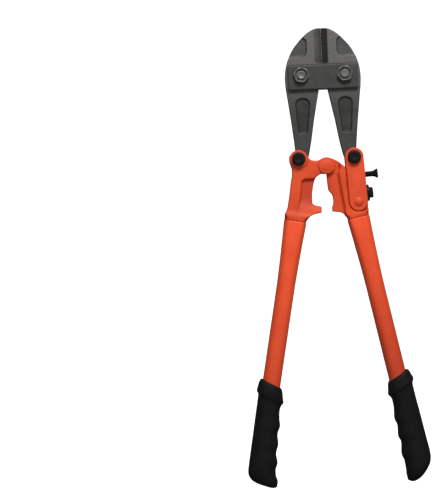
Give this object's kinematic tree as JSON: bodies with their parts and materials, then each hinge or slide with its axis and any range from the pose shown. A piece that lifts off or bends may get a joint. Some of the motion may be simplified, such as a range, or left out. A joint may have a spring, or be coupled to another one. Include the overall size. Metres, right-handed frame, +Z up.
{
  "type": "bolt cutters",
  "caption": "Long-handled compound-leverage cutters: bevelled forged jaws between straps, cast yokes with a screw-set adjuster arm, tubular handles and moulded rubber grips.",
  "frame": {"origin": "under the middle of the whole tool, on the surface it lies on", "axes": "+Y towards the jaw tips, +X towards the adjuster arm, +Z up, square to the plane the handles move in"},
  "size_m": [0.2435, 0.6099, 0.036],
  "materials": {
    "forged_steel": "dark satin forged steel with ground bevels",
    "bright_steel": "satin zinc-plated bolts and nuts",
    "orange_casting": "satin powder coat over a casting",
    "orange_tube": "satin powder coat over smooth tube",
    "black_oxide": "black oxide bolts and screws",
    "grip_rubber": "matte moulded rubber"
  },
  "bodies": {
    "head": {"front_strap": "forged_steel", "rear_strap": "forged_steel", "jaw_bolts": "bright_steel", "jaw_nuts": "bright_steel"},
    "jaw_left": {"blade_left": "forged_steel"},
    "jaw_right": {"blade_right": "forged_steel"},
    "handle_left": {"yoke_left": "orange_casting", "center_pin": "orange_casting", "tail_bolt_left": "black_oxide", "tail_nut_left": "black_oxide", "tube_left": "orange_tube", "grip_left": "grip_rubber"},
    "adjuster": {"adjuster_arm": "orange_casting", "tail_bolt_right": "black_oxide", "tail_nut_right": "black_oxide", "adjuster_pin": "orange_casting", "lock_washer": "black_oxide"},
    "handle_right": {"yoke_right": "orange_casting", "tube_right": "orange_tube", "grip_right": "grip_rubber"},
    "adjusting_screw": {"adjusting_screw": "black_oxide"},
    "lock_bolt": {"lock_bolt": "black_oxide"}
  },
  "joints": [
    {"name": "left_jaw_pivot", "type": "hinge", "parent": "head", "child": "jaw_left", "pos_m": [-0.029, 0.2425, 0.018], "axis": [0, 0, 1], "range_deg": [0, 10.32]},
    {"name": "right_jaw_pivot", "type": "hinge", "parent": "head", "child": "jaw_right", "pos_m": [0.029, 0.2425, 0.018], "axis": [0, 0, -1], "range_deg": [0, 10.32]},
    {"name": "left_handle_pivot", "type": "hinge", "parent": "jaw_left", "child": "handle_left", "pos_m": [-0.037, 0.1315, 0.018], "axis": [0, 0, -1], "range_deg": [0, 58.86]},
    {"name": "right_handle_pivot", "type": "hinge", "parent": "jaw_right", "child": "adjuster", "pos_m": [0.037, 0.1315, 0.018], "axis": [0, 0, 1], "range_deg": [0, 58.9]},
    {"name": "adjuster_swing", "type": "hinge", "parent": "adjuster", "child": "handle_right", "pos_m": [0.0405, 0.0715, 0.018], "axis": [0, 0, 1], "range_deg": [-0.6, 0.6]},
    {"name": "adjusting_screw_travel", "type": "slide", "parent": "adjuster", "child": "adjusting_screw", "axis": [0.9983, 0.0582, 0], "range_m": [-0.00038, 0.00038]},
    {"name": "lock_bolt_travel", "type": "slide", "parent": "handle_right", "child": "lock_bolt", "axis": [0.9983, 0.0582, 0], "range_m": [-0.000115, 0.000115]}
  ],
  "couplings": [
    {"joint": "left_jaw_pivot", "follows": "left_handle_pivot", "ratio": 0.17516},
    {"joint": "right_jaw_pivot", "follows": "left_handle_pivot", "ratio": 0.17516},
    {"joint": "right_handle_pivot", "follows": "left_handle_pivot", "ratio": 1},
    {"joint": "adjusting_screw_travel", "follows": "adjuster_swing", "m_per_rad": -0.0356},
    {"joint": "lock_bolt_travel", "follows": "adjuster_swing", "m_per_rad": 0.0109}
  ]
}
